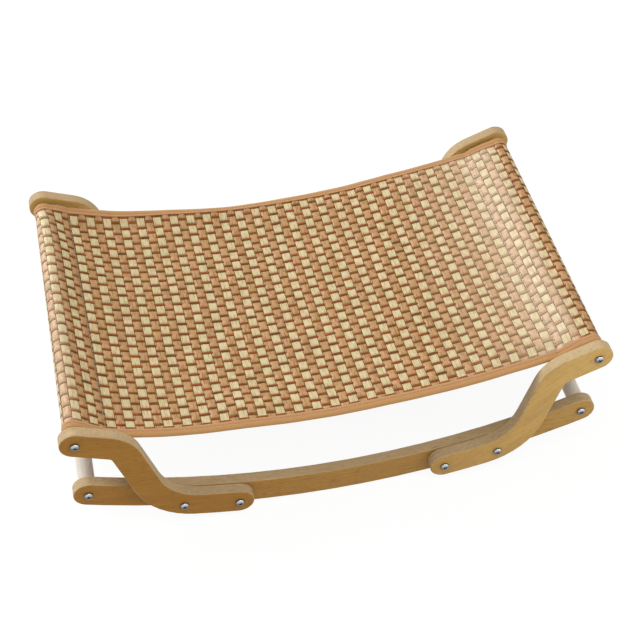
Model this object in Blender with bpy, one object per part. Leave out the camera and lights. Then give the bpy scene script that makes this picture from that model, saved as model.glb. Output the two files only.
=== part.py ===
"""A rocking cat bed: a woven mat slung between two dowels, on four S-shaped arms bolted to
two curved rocker rails. Metres, +Z up. X runs along the bed, the front is at -Y, and the
origin is on the floor in the middle."""

import math

import bmesh
import bpy
from mathutils import Vector

# Gap left between pieces that touch, and round every screw
CLEARANCE = 0.0003

# Layout of the frame, in plan and height
SLING_SPAN = 0.326  # clear width between the front and back arms
TOP_DOWEL_X = 0.250
TOP_DOWEL_Z = 0.1427
BASE_DOWEL_X = 0.2463
FOOT_INNER_X = 0.1035  # screws that hold an arm's foot to the rail
FOOT_OUTER_X = 0.1576
TOP_DOWEL_RADIUS = 0.0075
BASE_DOWEL_RADIUS = 0.008

# Boards
ARM_THICKNESS = 0.012
ARM_WIDTH = 0.029  # of the neck and the foot
LEG_WIDTH = 0.0275
RAIL_THICKNESS = 0.012
RAIL_WIDTH = 0.029
ROCKER_RADIUS = 0.770  # of the edge that rolls on the floor
EDGE_EASE = 0.0008  # chamfer along every board's edges

# An arm leaves the top dowel along its neck, turns down the leg and runs out along the rail
NECK_SLOPE = math.radians(21)
NECK_LENGTH = 0.0452
LEG_SLOPE = math.radians(72)
SHOULDER_RADIUS = 0.043
ARMPIT_RADIUS = 0.006
INSTEP_RADIUS = 0.048
HEEL_RADIUS = 0.071

# Pan head screws and the threaded inserts that take them
SCREW_RADIUS = 0.0025
HEAD_RADIUS = 0.005
HEAD_HEIGHT = 0.003
DOWEL_SCREW_LENGTH = 0.025
FOOT_SCREW_LENGTH = 0.020
SCREW_POINT = 0.0007  # chamfer at the tip
INSERT_WALL = 0.0012
INSERT_LENGTH = 0.009
TIP_SPACE = 0.002  # free depth past a screw's tip

# Woven mat
MAT_THICKNESS = 0.0019
MAT_SAG = 0.026  # of the middle below the seams
MAT_LEAN = 0.008  # sets the lowest line a little towards the left end
CROSS_SAG = 0.005  # of the middle below the bound edges
SEAM_INSET = 0.031  # from the dowel's axis to the seam that closes the pocket
SEAM_THICKNESS = 0.0032  # two layers, drawn together by the stitches
HEM_LENGTH = 0.012  # turned-under end, past the seam
HEM_TAPER = 0.003
BINDING_WIDTH = 0.0095
BINDING_THICKNESS = 0.0006
EDGE_CLEARANCE = 0.003  # from the bound edge to the arm
THREAD_RADIUS = 0.0005

# Facets
RAIL_FACETS = 31  # odd, so that one facet lies flat on the floor
FOOT_FACETS = 4
END_FACETS = 14
BEND_FACETS = 8
TIGHT_FACETS = 4
HOLE_SIDES = 16
DOWEL_SIDES = 24
SCREW_SIDES = 14
DOME_FACETS = 4
THREAD_SIDES = 8
SHEET_FACETS = 20
LOOP_FACETS = 16
CROSS_FACETS = 8

# Sizes that follow from those above
ARM_INNER_Y = SLING_SPAN / 2
ARM_OUTER_Y = ARM_INNER_Y + ARM_THICKNESS
RAIL_OUTER_Y = ARM_INNER_Y - CLEARANCE
RAIL_INNER_Y = RAIL_OUTER_Y - RAIL_THICKNESS
RAIL_MIDDLE_RADIUS = ROCKER_RADIUS - RAIL_WIDTH / 2
RAIL_SWEEP = math.asin(BASE_DOWEL_X / RAIL_MIDDLE_RADIUS)
ROCKER_Z = ROCKER_RADIUS * math.cos(RAIL_SWEEP / RAIL_FACETS)
HOLE_RADIUS = SCREW_RADIUS + CLEARANCE
INSERT_RADIUS = HOLE_RADIUS + INSERT_WALL
POCKET_RADIUS = INSERT_RADIUS + CLEARANCE
POCKET_DEPTH = INSERT_LENGTH + CLEARANCE
SEAM_X = TOP_DOWEL_X - SEAM_INSET
SEAM_SLOPE = 2 * MAT_SAG / SEAM_X
SEAM_Z = TOP_DOWEL_Z - SEAM_INSET * SEAM_SLOPE
BINDING_OUTER_Y = ARM_INNER_Y - EDGE_CLEARANCE
BINDING_INNER_Y = BINDING_OUTER_Y - BINDING_WIDTH
MAT_EDGE_Y = BINDING_OUTER_Y - BINDING_THICKNESS - CLEARANCE
LOOP_INNER_RADIUS = TOP_DOWEL_RADIUS + CLEARANCE
LOOP_OUTER_RADIUS = LOOP_INNER_RADIUS + MAT_THICKNESS
SIDES = {"left": -1, "right": 1}
ENDS = {"front": -1, "back": 1}


def make_material(name, colour, roughness, metallic=0.0):
    """A plain material with one colour."""
    material = bpy.data.materials.new(name)
    material.use_nodes = True
    shader = material.node_tree.nodes["Principled BSDF"]
    shader.inputs["Base Color"].default_value = (*colour, 1.0)
    shader.inputs["Roughness"].default_value = roughness
    shader.inputs["Metallic"].default_value = metallic
    return material


def rail_height(x):
    """Height of the rail's centre line."""
    return ROCKER_Z - math.sqrt(RAIL_MIDDLE_RADIUS**2 - x**2)


def arc(centre, radius, start, end, facets):
    """Points on an arc in X and Z, both ends included. Angles turn from +X towards +Z."""
    points = []
    for step in range(facets + 1):
        angle = start + (end - start) * step / facets
        points.append(Vector((centre[0] + radius * math.cos(angle), centre[1] + radius * math.sin(angle))))
    return points


def angle_of(vector):
    return math.atan2(vector.y, vector.x)


def crossing(point, along, other_point, other_along):
    """Where two lines meet."""
    offset = other_point - point
    share = offset.cross(other_along) / along.cross(other_along)
    return point + along * share


def bend(corner, arriving, leaving, radius, facets):
    """Arc of a given radius that rounds the corner between two directions."""
    turn = math.atan2(arriving.cross(leaving), arriving.dot(leaving))
    start = corner - arriving * radius * math.tan(abs(turn) / 2)
    inside = Vector((-arriving.y, arriving.x)) * math.copysign(1, turn)
    centre = start + inside * radius
    begin = angle_of(start - centre)
    return arc(centre, radius, begin, begin + turn, facets)


def run_onto_rail(point, along, inside, radius, edge_radius, facets):
    """Arc that leaves a straight edge and ends smoothly on a curved edge of the foot."""
    hub = Vector((0, ROCKER_Z))
    start = point + inside * radius - hub
    middle = start.dot(along)
    reach = math.sqrt(middle**2 - start.length_squared + (edge_radius - radius) ** 2)
    centre = hub + start + along * (reach - middle)
    begin = angle_of(-inside)
    end = angle_of(centre - hub)
    return arc(centre, radius, begin, end, facets)


def arm_outline():
    """Outline of the right-hand arm in X and Z, anticlockwise from under its top end."""
    half = ARM_WIDTH / 2
    dowel = Vector((TOP_DOWEL_X, TOP_DOWEL_Z))
    neck = Vector((-math.cos(NECK_SLOPE), -math.sin(NECK_SLOPE)))
    leg = Vector((-math.cos(LEG_SLOPE), -math.sin(LEG_SLOPE)))
    over_neck = Vector((neck.y, -neck.x))
    over_leg = Vector((leg.y, -leg.x))
    elbow = dowel + neck * NECK_LENGTH

    leg_front = elbow - over_leg * half
    leg_back = leg_front + over_leg * LEG_WIDTH
    shoulder = crossing(dowel + over_neck * half, neck, leg_back, leg)
    armpit = crossing(dowel - over_neck * half, neck, leg_front, leg)
    top = bend(shoulder, neck, leg, SHOULDER_RADIUS, BEND_FACETS)
    under = bend(armpit, neck, leg, ARMPIT_RADIUS, TIGHT_FACETS)
    upper_edge = RAIL_MIDDLE_RADIUS - half
    lower_edge = RAIL_MIDDLE_RADIUS + half
    instep = run_onto_rail(leg_back, leg, over_leg, INSTEP_RADIUS, upper_edge, BEND_FACETS)
    heel = run_onto_rail(leg_front, leg, over_leg, HEEL_RADIUS, lower_edge, BEND_FACETS)

    hub = Vector((0, ROCKER_Z))
    toe = Vector((FOOT_INNER_X, rail_height(FOOT_INNER_X)))
    toe_angle = angle_of(toe - hub)
    end = angle_of(over_neck)
    points = arc(dowel, half, end - math.pi, end, END_FACETS)
    points += top
    points += instep
    points += arc(hub, upper_edge, angle_of(instep[-1] - hub), toe_angle, FOOT_FACETS)[1:-1]
    points += arc(toe, half, toe_angle + math.pi, toe_angle + 2 * math.pi, END_FACETS)
    points += arc(hub, lower_edge, toe_angle, angle_of(heel[-1] - hub), FOOT_FACETS)[1:-1]
    points += heel[::-1]
    points += under[::-1]
    return points


def rail_outline():
    """Outline of a rocker rail: a band of constant width with round ends on the base dowels."""
    half = RAIL_WIDTH / 2
    hub = Vector((0, ROCKER_Z))
    down = -math.pi / 2
    right = Vector((BASE_DOWEL_X, rail_height(BASE_DOWEL_X)))
    left = Vector((-BASE_DOWEL_X, rail_height(BASE_DOWEL_X)))
    points = arc(hub, ROCKER_RADIUS, down - RAIL_SWEEP, down + RAIL_SWEEP, RAIL_FACETS)
    points += arc(right, half, down + RAIL_SWEEP, down + RAIL_SWEEP + math.pi, END_FACETS)[1:-1]
    points += arc(hub, ROCKER_RADIUS - RAIL_WIDTH, down + RAIL_SWEEP, down - RAIL_SWEEP, RAIL_FACETS)
    points += arc(left, half, down - RAIL_SWEEP + math.pi, down - RAIL_SWEEP + 2 * math.pi, END_FACETS)[1:-1]
    return points


def add_object(name, bm, material, location=(0, 0, 0), smooth=True):
    """Turns a bmesh into an object whose origin is at the given place."""
    bmesh.ops.recalc_face_normals(bm, faces=bm.faces)
    mesh = bpy.data.meshes.new(name)
    bm.to_mesh(mesh)
    bm.free()
    if smooth:
        mesh.shade_smooth()
        mesh.set_sharp_from_angle(angle=math.radians(35))
    mesh.materials.append(material)
    return place(name, mesh, location)


def place(name, mesh, location, turned=False):
    """One object that shows a mesh, turned half round Z where it faces the back."""
    piece = bpy.data.objects.new(name, mesh)
    piece.location = location
    if turned:
        piece.rotation_euler.z = math.pi
    piece.parent = ROOT
    bpy.context.scene.collection.objects.link(piece)
    return piece


def drill(board, holes):
    """Cuts holes along Y, each given as (x, z, radius, y from, y to) in world coordinates."""
    bm = bmesh.new()
    for x, z, radius, start, end in holes:
        ring = arc((x, z), radius, 0, 2 * math.pi, HOLE_SIDES)[:-1]
        face = bm.faces.new([bm.verts.new((point.x, start, point.y)) for point in ring])
        moved = bmesh.ops.extrude_face_region(bm, geom=[face])["geom"]
        verts = [item for item in moved if isinstance(item, bmesh.types.BMVert)]
        bmesh.ops.translate(bm, verts=verts, vec=(0, end - start, 0))
    cutter = add_object(board.name + "_drill", bm, board.data.materials[0], smooth=False)
    cutter.hide_render = True
    cutter.display_type = "WIRE"
    cut = board.modifiers.new("screw_holes", "BOOLEAN")
    cut.operation = "DIFFERENCE"
    cut.solver = "EXACT"
    cut.object = cutter


def make_board(name, outline, start, end, material):
    """A board cut to an outline in X and Z, between two places in Y, with eased edges."""
    bm = bmesh.new()
    face = bm.faces.new([bm.verts.new((point.x, start, point.y)) for point in outline])
    moved = bmesh.ops.extrude_face_region(bm, geom=[face])["geom"]
    verts = [item for item in moved if isinstance(item, bmesh.types.BMVert)]
    bmesh.ops.translate(bm, verts=verts, vec=(0, end - start, 0))
    bmesh.ops.recalc_face_normals(bm, faces=bm.faces)
    rims = [edge for edge in bm.edges if abs(edge.verts[0].co.y - edge.verts[1].co.y) < CLEARANCE]
    bmesh.ops.bevel(bm, geom=rims, offset=EDGE_EASE, segments=1, affect="EDGES")
    return add_object(name, bm, material)


def through_hole(x, z, inner, outer):
    """A screw's clearance hole right through a board, running a little past both faces."""
    past = math.copysign(CLEARANCE, outer)
    return (x, z, HOLE_RADIUS, inner - past, outer + past)


def make_rails(material):
    """Two rocker rails, with the base dowels' screw holes and pockets for the foot inserts."""
    for end, facing in ENDS.items():
        inner = facing * RAIL_INNER_Y
        outer = facing * RAIL_OUTER_Y
        rail = make_board(end + "_rail", rail_outline(), inner, outer, material)
        holes = []
        for side in SIDES.values():
            x = side * BASE_DOWEL_X
            holes.append(through_hole(x, rail_height(x), inner, outer))
            for foot in (FOOT_INNER_X, FOOT_OUTER_X):
                start = facing * (RAIL_OUTER_Y - POCKET_DEPTH)
                pocket = facing * (RAIL_OUTER_Y + CLEARANCE)
                holes.append((side * foot, rail_height(foot), POCKET_RADIUS, start, pocket))
        drill(rail, holes)


def make_arms(material):
    """Four S-shaped arms, outside the rails."""
    outline = arm_outline()
    for end, facing in ENDS.items():
        for hand, side in SIDES.items():
            inner = facing * ARM_INNER_Y
            outer = facing * ARM_OUTER_Y
            shape = [Vector((side * point.x, point.y)) for point in outline]
            arm = make_board(f"{end}_{hand}_arm", shape, inner, outer, material)
            holes = [through_hole(side * TOP_DOWEL_X, TOP_DOWEL_Z, inner, outer)]
            for foot in (FOOT_INNER_X, FOOT_OUTER_X):
                holes.append(through_hole(side * foot, rail_height(foot), inner, outer))
            drill(arm, holes)


def turned_mesh(name, profile, sides, material):
    """Turns a profile of (radius, y) points round the Y axis."""
    bm = bmesh.new()
    verts = [bm.verts.new((radius, y, 0)) for radius, y in profile]
    edges = [bm.edges.new(pair) for pair in zip(verts, verts[1:])]
    if profile[0][0] > 0:
        edges.append(bm.edges.new((verts[-1], verts[0])))
    bmesh.ops.spin(
        bm, geom=verts + edges, axis=(0, 1, 0), cent=(0, 0, 0), angle=2 * math.pi, steps=sides, use_merge=True
    )
    bmesh.ops.remove_doubles(bm, verts=bm.verts, dist=1e-6)
    bmesh.ops.recalc_face_normals(bm, faces=bm.faces)
    mesh = bpy.data.meshes.new(name)
    bm.to_mesh(mesh)
    bm.free()
    mesh.shade_smooth()
    mesh.set_sharp_from_angle(angle=math.radians(35))
    mesh.materials.append(material)
    return mesh


def make_dowels(material):
    """Two top dowels between the arms and two base dowels between the rails."""
    tip_depth = DOWEL_SCREW_LENGTH - min(ARM_THICKNESS, RAIL_THICKNESS) + TIP_SPACE
    for name, x, z, dowel_radius, reach in (
        ("top_dowel", TOP_DOWEL_X, TOP_DOWEL_Z, TOP_DOWEL_RADIUS, ARM_INNER_Y - CLEARANCE),
        ("base_dowel", BASE_DOWEL_X, rail_height(BASE_DOWEL_X), BASE_DOWEL_RADIUS, RAIL_INNER_Y - CLEARANCE),
    ):
        half = [
            (0, reach - tip_depth),
            (HOLE_RADIUS, reach - tip_depth),
            (HOLE_RADIUS, reach - POCKET_DEPTH),
            (POCKET_RADIUS, reach - POCKET_DEPTH),
            (POCKET_RADIUS, reach),
            (dowel_radius - EDGE_EASE, reach),
            (dowel_radius, reach - EDGE_EASE),
        ]
        profile = [(radius, -y) for radius, y in half] + half[::-1]
        mesh = turned_mesh(name, profile, DOWEL_SIDES, material)
        for hand, side in SIDES.items():
            place(f"{hand}_{name}", mesh, (side * x, 0, z))


def screw_profile(length):
    """Half section of a pan head screw: its head is at -Y and its seat at y = 0."""
    dome = HEAD_HEIGHT * 0.75
    profile = []
    for step in range(DOME_FACETS + 1):
        angle = math.pi / 2 * step / DOME_FACETS
        profile.append((HEAD_RADIUS * math.sin(angle), dome - HEAD_HEIGHT - dome * math.cos(angle)))
    profile += [
        (HEAD_RADIUS, 0),
        (SCREW_RADIUS, 0),
        (SCREW_RADIUS, length - SCREW_POINT),
        (SCREW_RADIUS - SCREW_POINT, length),
        (0, length),
    ]
    return profile


def make_fasteners(screw_material, insert_material):
    """Sixteen screws and the threaded inserts that they turn into."""
    dowel_screw = turned_mesh("dowel_screw", screw_profile(DOWEL_SCREW_LENGTH), SCREW_SIDES, screw_material)
    foot_screw = turned_mesh("foot_screw", screw_profile(FOOT_SCREW_LENGTH), SCREW_SIDES, screw_material)
    sleeve = [
        (HOLE_RADIUS, 0),
        (HOLE_RADIUS, INSERT_LENGTH),
        (INSERT_RADIUS, INSERT_LENGTH),
        (INSERT_RADIUS, 0),
    ]
    insert = turned_mesh("threaded_insert", sleeve, SCREW_SIDES, insert_material)
    # Each joint: x, z, the face that the head sits on, and the face that the insert is let into
    joints = {
        "top": (TOP_DOWEL_X, TOP_DOWEL_Z, ARM_OUTER_Y, ARM_INNER_Y - CLEARANCE, dowel_screw),
        "base": (BASE_DOWEL_X, rail_height(BASE_DOWEL_X), RAIL_OUTER_Y, RAIL_INNER_Y - CLEARANCE, dowel_screw),
        "foot_outer": (FOOT_OUTER_X, rail_height(FOOT_OUTER_X), ARM_OUTER_Y, RAIL_OUTER_Y, foot_screw),
        "foot_inner": (FOOT_INNER_X, rail_height(FOOT_INNER_X), ARM_OUTER_Y, RAIL_OUTER_Y, foot_screw),
    }
    for end, facing in ENDS.items():
        for hand, side in SIDES.items():
            for joint, (x, z, seat, mouth, screw) in joints.items():
                label = f"{end}_{hand}_{joint}"
                back = facing > 0
                place("screw_" + label, screw, (side * x, facing * (seat + CLEARANCE), z), turned=back)
                place("insert_" + label, insert, (side * x, facing * mouth, z), turned=back)


def sheet_top(x):
    """Height of the mat's upper face along its bound edges, between the seams."""
    share = x / SEAM_X
    belly = 1 - share**2
    return SEAM_Z + SEAM_THICKNESS / 2 - MAT_SAG * belly + MAT_LEAN * share * belly


def sheet_thickness(x):
    """The hem doubles the mat on the underside, next to each seam."""
    hem_end = SEAM_X - HEM_LENGTH
    share = min(max((abs(x) - hem_end + HEM_TAPER) / HEM_TAPER, 0), 1)
    return MAT_THICKNESS + (SEAM_THICKNESS - MAT_THICKNESS) * share


def cross_sag(x, y):
    """How far the mat hangs below the line between its two bound edges."""
    share = min(abs(x / SEAM_X), 1)
    across = min(abs(y / BINDING_INNER_Y), 1)
    return CROSS_SAG * (1 - share**6) * (1 - across**2)


def pocket_angles():
    """Where the pocket's upper layer meets the dowel, and its lower layer leaves it, seen from
    the right-hand dowel's axis. The angles fall from the first to the second."""
    axis = Vector((SEAM_X - TOP_DOWEL_X, SEAM_Z - TOP_DOWEL_Z))
    half = SEAM_THICKNESS / 2
    reach = math.hypot(axis.length, half)
    spread = math.asin(LOOP_OUTER_RADIUS / reach) - math.atan2(half, axis.length)
    towards_seam = angle_of(axis) % (2 * math.pi)
    first = towards_seam - math.pi / 2 + spread
    last = towards_seam + math.pi / 2 - spread - 2 * math.pi
    apex = Vector((TOP_DOWEL_X, TOP_DOWEL_Z)) + axis.normalized() * LOOP_INNER_RADIUS / math.sin(spread)
    return first, last, apex, spread


def mat_section():
    """The mat's section in X and Z: stations along the sheet, and a loop at each end.

    Gives the upper and lower points of the sheet from left to right, and for each end the outer
    and inner points of its loop, from the seam's upper side round the dowel to its lower side."""
    hem_end = SEAM_X - HEM_LENGTH
    inner_x = hem_end - HEM_TAPER
    stations = [inner_x * (2 * step / SHEET_FACETS - 1) for step in range(SHEET_FACETS + 1)]
    stations = [-SEAM_X, -hem_end] + stations + [hem_end, SEAM_X]
    upper = [Vector((x, sheet_top(x))) for x in stations]
    lower = [Vector((x, sheet_top(x) - sheet_thickness(x))) for x in stations]
    first, last, apex, _ = pocket_angles()
    dowel = (TOP_DOWEL_X, TOP_DOWEL_Z)
    outer = arc(dowel, LOOP_OUTER_RADIUS, first, last, LOOP_FACETS)
    inner = [apex] + arc(dowel, LOOP_INNER_RADIUS, first, last, LOOP_FACETS)
    loops = {}
    for side in SIDES.values():
        mirror = Vector((side, 1))
        loops[side] = ([point * mirror for point in outer], [point * mirror for point in inner])
    return upper, lower, loops


def outline_of(upper, lower, loops):
    """The section's outer outline, clockwise from the upper left seam."""
    return upper + loops[1][0] + lower[::-1] + loops[-1][0][::-1]


def offset_outline(points, distance):
    """Moves each point of a clockwise outline outwards."""
    moved = []
    for index, point in enumerate(points):
        before = (point - points[index - 1]).normalized()
        after = (points[(index + 1) % len(points)] - point).normalized()
        tangent = (before + after).normalized()
        normal = Vector((-tangent.y, tangent.x))
        moved.append(point + normal * distance / max(before.dot(tangent), 0.5))
    return moved


def section_faces(outline, holes, sheet_count):
    """Covers the section with faces, from its outline's vertices and each pocket's vertices."""
    loop_count = LOOP_FACETS + 1
    upper = outline[:sheet_count]
    right = outline[sheet_count : sheet_count + loop_count]
    lower = outline[sheet_count + loop_count : 2 * sheet_count + loop_count][::-1]
    left = outline[2 * sheet_count + loop_count :][::-1]
    faces = []
    for index in range(sheet_count - 1):
        faces.append((upper[index], upper[index + 1], lower[index + 1], lower[index]))
    for top, bottom, outer, inner in (
        (upper[-1], lower[-1], right, holes[1]),
        (upper[0], lower[0], left, holes[-1]),
    ):
        apex = inner[0]
        ring = inner[1:]
        faces.append((top, apex, bottom))
        faces.append((top, outer[0], ring[0], apex))
        faces.append((bottom, outer[-1], ring[-1], apex))
        for index in range(loop_count - 1):
            faces.append((outer[index], outer[index + 1], ring[index + 1], ring[index]))
    return faces


def join_rings(bm, first, second):
    """Walls between two closed rings of vertices with as many points."""
    for index in range(len(first)):
        bm.faces.new((first[index - 1], first[index], second[index], second[index - 1]))


def ring_of(bm, points, y, drop=None):
    """Vertices at one place in Y, lowered by a function of the place where one is given."""
    verts = []
    for point in points:
        fall = drop(point.x, y) if drop else 0
        verts.append(bm.verts.new((point.x, y, point.y - fall)))
    return verts


def make_mat(material):
    """The woven mat: a sagging sheet whose ends wrap the top dowels and are sewn back."""
    upper, lower, loops = mat_section()
    outline = outline_of(upper, lower, loops)
    places = [BINDING_INNER_Y * (2 * step / CROSS_FACETS - 1) for step in range(CROSS_FACETS + 1)]
    places = [-MAT_EDGE_Y] + places + [MAT_EDGE_Y]
    bm = bmesh.new()
    rows = [ring_of(bm, outline, y, cross_sag) for y in places]
    for row, following in zip(rows, rows[1:]):
        join_rings(bm, row, following)
    for side in SIDES.values():
        loops[side] = [ring_of(bm, loops[side][1], y) for y in (places[0], places[-1])]
        join_rings(bm, *loops[side])
    for index, row in enumerate((rows[0], rows[-1])):
        holes = {side: loops[side][index] for side in loops}
        for face in section_faces(row, holes, len(upper)):
            bm.faces.new(face)
    add_object("woven_mat", bm, material)


def make_bindings(material):
    """A tape folded over each long edge of the mat, from above, round the edge and back below."""
    upper, lower, loops = mat_section()
    outline = outline_of(upper, lower, loops)
    inside = offset_outline(outline, CLEARANCE)
    outside = offset_outline(outline, CLEARANCE + BINDING_THICKNESS)
    for end, facing in ENDS.items():
        bm = bmesh.new()
        rim = facing * BINDING_INNER_Y
        fold = facing * (MAT_EDGE_Y + CLEARANCE)
        face_y = facing * BINDING_OUTER_Y
        outside_rim = ring_of(bm, outside, rim)
        outside_edge = ring_of(bm, outside, face_y)
        inside_rim = ring_of(bm, inside, rim)
        inside_edge = ring_of(bm, inside, fold)
        join_rings(bm, outside_rim, outside_edge)
        join_rings(bm, outside_rim, inside_rim)
        join_rings(bm, inside_rim, inside_edge)
        outer_holes = {side: ring_of(bm, loops[side][1], face_y) for side in loops}
        inner_holes = {side: ring_of(bm, loops[side][1], fold) for side in loops}
        for side in loops:
            join_rings(bm, outer_holes[side], inner_holes[side])
        for ring, holes in ((outside_edge, outer_holes), (inside_edge, inner_holes)):
            for face in section_faces(ring, holes, len(upper)):
                bm.faces.new(face)
        add_object(end + "_binding", bm, material)


def make_seam_threads(material):
    """The thread that closes each pocket, lying in the valley between pocket and sheet."""
    spread = pocket_angles()[3]
    lift = (THREAD_RADIUS + CLEARANCE) / math.cos(spread) + SEAM_THICKNESS / 2
    reach = BINDING_INNER_Y - CLEARANCE
    profile = [(0, -reach), (THREAD_RADIUS, -reach), (THREAD_RADIUS, reach), (0, reach)]
    mesh = turned_mesh("seam_thread", profile, THREAD_SIDES, material)
    for hand, side in SIDES.items():
        place(hand + "_seam_thread", mesh, (side * SEAM_X, 0, SEAM_Z + lift))


for old in list(bpy.data.objects):
    bpy.data.objects.remove(old, do_unlink=True)
ROOT = bpy.data.objects.new("cat_bed", None)
bpy.context.scene.collection.objects.link(ROOT)

board_wood = make_material("board_wood", (0.46, 0.28, 0.12), 0.5)
dowel_wood = make_material("dowel_wood", (0.66, 0.50, 0.32), 0.55)
screw_steel = make_material("screw_steel", (0.72, 0.72, 0.73), 0.25, 1.0)
insert_metal = make_material("insert_metal", (0.60, 0.58, 0.52), 0.4, 1.0)
woven_strip = make_material("woven_strip", (0.58, 0.42, 0.23), 0.6)
binding_tape = make_material("binding_tape", (0.57, 0.31, 0.14), 0.75)
seam_thread = make_material("seam_thread", (0.66, 0.58, 0.52), 0.6)

make_rails(board_wood)
make_arms(board_wood)
make_dowels(dowel_wood)
make_fasteners(screw_steel, insert_metal)
make_mat(woven_strip)
make_bindings(binding_tape)
make_seam_threads(seam_thread)
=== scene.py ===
"""Looks of the rocking cat bed: varnished boards, turned dowels, bright screws and a mat woven
from flat strips. Metres, +Z up, in the part's own frame: X along the bed, the front at -Y."""

import math

import bmesh
import bpy
import numpy as np
from mathutils import Matrix, Vector


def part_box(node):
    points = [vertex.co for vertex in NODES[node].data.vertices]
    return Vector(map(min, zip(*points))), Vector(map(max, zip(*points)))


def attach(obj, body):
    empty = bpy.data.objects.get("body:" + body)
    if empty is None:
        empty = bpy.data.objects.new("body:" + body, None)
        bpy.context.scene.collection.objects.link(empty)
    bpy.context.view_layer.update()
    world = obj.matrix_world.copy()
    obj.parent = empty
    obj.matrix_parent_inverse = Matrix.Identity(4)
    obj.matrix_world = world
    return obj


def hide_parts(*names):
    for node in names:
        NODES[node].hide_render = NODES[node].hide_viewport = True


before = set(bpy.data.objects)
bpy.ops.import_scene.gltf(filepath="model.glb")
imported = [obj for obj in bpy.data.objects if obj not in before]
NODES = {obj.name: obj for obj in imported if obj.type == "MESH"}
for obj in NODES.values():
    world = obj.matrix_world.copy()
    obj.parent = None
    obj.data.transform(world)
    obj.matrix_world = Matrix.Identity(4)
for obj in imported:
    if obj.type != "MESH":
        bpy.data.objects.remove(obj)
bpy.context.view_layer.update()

ENDS = {"front": -1, "back": 1}
DOWELS = ("left_top", "left_base", "right_top", "right_base")
MM = 0.001

# Places that the frame gives
DOWEL_LOW, DOWEL_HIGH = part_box("right_top_dowel")
DOWEL_X = (DOWEL_LOW.x + DOWEL_HIGH.x) / 2
DOWEL_Z = (DOWEL_LOW.z + DOWEL_HIGH.z) / 2
DOWEL_RADIUS = (DOWEL_HIGH.z - DOWEL_LOW.z) / 2
TAPE_LOW, TAPE_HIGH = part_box("back_binding")
SEAM_X = sum(corner.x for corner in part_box("right_seam_thread")) / 2

# How the sheet hangs
MAT_SAG = 26 * MM  # of the middle below the seams
MAT_LEAN = 8 * MM  # sets the lowest line a little to the left
CROSS_SAG = 5.5 * MM  # of the middle below the bound edges
SEAM_SHIFT = -4 * MM  # both pockets were sewn a little to the left
SEAM_SKEW = -0.0153  # and slightly out of square
POCKET_SLACK = 1.25 * MM  # from the dowel to the middle of the sheet
SEAM_LIFT = 0.65 * MM  # of the sheet's middle over the middle of its two layers
LAYER_GAP = 1.7 * MM  # between the two layers' middles at a seam
EDGE_LAYER_GAP = 2.5 * MM  # the same where the edges are bound
HEM_LENGTH = 12 * MM
SEAM_DIP = 0.5 * MM  # the stitches draw the weave down
SEAM_DIP_WIDTH = 2.4 * MM
WAVINESS = 0.35 * MM
WAVES = ((47, 21, 0, 1), (29, -38, 1.3, 1), (17, 71, 0, 0.6))  # radians a metre in X and Y, start, size
BOUND_START = 138 * MM  # the two layers part between here and the tape
BOUND_BLEND = 12 * MM

# How the slack sheet departs from an even curve: heights along X, in rows from front to back
EASE_X = np.array([
    -246, -232, -215, -180, -150, -120, -90, -45, 0, 45, 80, 125, 160, 190, 215, 235, 246
]) * MM
EASE_Y = np.array([-155, -135, -95, -40, 0, 40, 95, 135, 155]) * MM
EASE_HEIGHTS = np.array([
    (0, -2, -4.2, -3.8, -2.6, -1, 0.6, -0.6, -1.6, -1.6, -2.2, -2.6, -1.8, -1, 0.6, 2, 0),
    (0, -2.4, -5.2, -4.8, -3, 0.2, 3.4, 1, -1.2, -0.4, -1.2, -0.8, 1.4, 3, 5.2, 6.2, 0),
    (0, -3.4, -5.4, -4.8, -3.6, -2.4, -0.6, -1, -1.2, -0.6, -0.8, -1, -0.4, 1.4, 2.6, 4.4, 0),
    (0, -3, -4.8, -4.8, -4, -2.6, -1.4, -0.8, -0.4, -0.2, -0.4, -0.2, 0.4, 0.2, 1.2, 4, 0),
    (0, -3.2, -4.6, -3.6, -2.6, -2, -2.2, -2, -0.2, 0.8, 0.2, 0.8, 1.6, 1.2, 1, 2.6, 0),
    (0, -2.4, -3.8, -3.4, -1.4, -0.2, -1.2, -2.6, -0.6, 0, -0.4, -0.2, 0.2, 0.2, 1, 3.2, 0),
    (0, -2.2, -4.2, -5.6, -3.6, -2.4, -2.2, -2.4, -1, -1.2, -0.2, 1.4, 0.8, 0.8, 2.2, 2.6, 0),
    (0, -3.2, -3.8, -3.6, -1.4, 1, 0.4, -0.2, 1.2, 0.8, 1, 3.4, 3.2, 3.4, 4.6, 3.2, 0),
    (0, 3.6, 3.6, 2.2, 3.6, 4.8, 4.2, 2.6, 1.8, 0.8, 0.4, 2.2, 2.4, 3, 3.6, 1.8, 0),
]) * MM
EASE_SMOOTHING = 10  # mm either side
EASE_FADE = 8 * MM  # over which it fades out before each dowel

# How finely the sheet's surface is worked out
MIDDLE_POINTS = 420  # between the seams
RUN_POINTS = 16  # from a seam to the dowel, and back
WRAP_POINTS = 40  # round the dowel
HEM_POINTS = 8
TABLE_ROWS = 108
TABLE_COLUMNS = 1300
TABLE_REACH = 160.5 * MM  # of the outermost rows from the middle of the bed
SLOPE_WINDOW = 7  # columns that a slope is averaged over

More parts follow.
